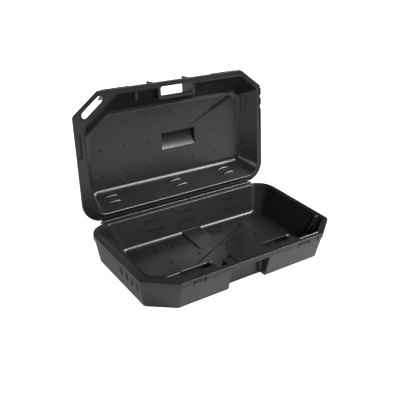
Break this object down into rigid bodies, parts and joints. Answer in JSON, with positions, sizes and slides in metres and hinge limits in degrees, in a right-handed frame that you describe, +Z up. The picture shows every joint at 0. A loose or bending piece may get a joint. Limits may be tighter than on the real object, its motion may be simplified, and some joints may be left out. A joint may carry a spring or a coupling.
{
  "type": "bait station",
  "caption": "Lockable moulded bait station standing open: chamfered twin-wall base tub, hinged dished lid with handle hole, folding latches and a key lock.",
  "frame": {"origin": "middle of the base's flat underside, which is the mount underside", "axes": "+X along the hinge towards the right-hand end, -Y towards the front with the finger recess, +Z up"},
  "size_m": [0.4614, 0.3506, 0.3245],
  "materials": {
    "base_tub": "fine moulded texture, satin black",
    "lid_shell": "fine moulded texture, satin black",
    "hinge_rod": "drawn wire, bright",
    "rod_cap_left": "fine moulded texture, satin black",
    "rod_cap_right": "fine moulded texture, satin black",
    "latch_left": "fine moulded texture, satin black",
    "latch_right": "fine moulded texture, satin black",
    "latch_pin_left": "drawn wire, bright",
    "latch_pin_right": "drawn wire, bright",
    "lock_barrel": "die-cast, black lacquer",
    "lock_cam": "die-cast, black lacquer",
    "lock_clip": "drawn wire, bright"
  },
  "bodies": {
    "base": {"base_tub": "base_tub", "hinge_rod": "hinge_rod", "rod_cap_left": "rod_cap_left", "rod_cap_right": "rod_cap_right"},
    "lid": {"lid_shell": "lid_shell", "latch_pin_left": "latch_pin_left", "latch_pin_right": "latch_pin_right"},
    "left_latch": {"latch_left": "latch_left"},
    "right_latch": {"latch_right": "latch_right"},
    "lock": {"lock_barrel": "lock_barrel", "lock_cam": "lock_cam", "lock_clip": "lock_clip"}
  },
  "joints": [
    {"name": "lid_hinge", "type": "hinge", "parent": "base", "child": "lid", "pos_m": [0, 0.1351, 0.0606], "axis": [1, 0, 0], "range_deg": [0, 98]},
    {"name": "left_latch_hinge", "type": "hinge", "parent": "lid", "child": "left_latch", "pos_m": [-0.132, 0.1834, 0.3195], "axis": [1, 0, 0], "range_deg": [0, 210]},
    {"name": "right_latch_hinge", "type": "hinge", "parent": "lid", "child": "right_latch", "pos_m": [0.13, 0.1834, 0.3195], "axis": [1, 0, 0], "range_deg": [0, 210]},
    {"name": "lock_turn", "type": "hinge", "parent": "base", "child": "lock", "pos_m": [-0.098, -0.115, 0.049], "axis": [0, 1, 0], "range_deg": [0, 90]}
  ]
}
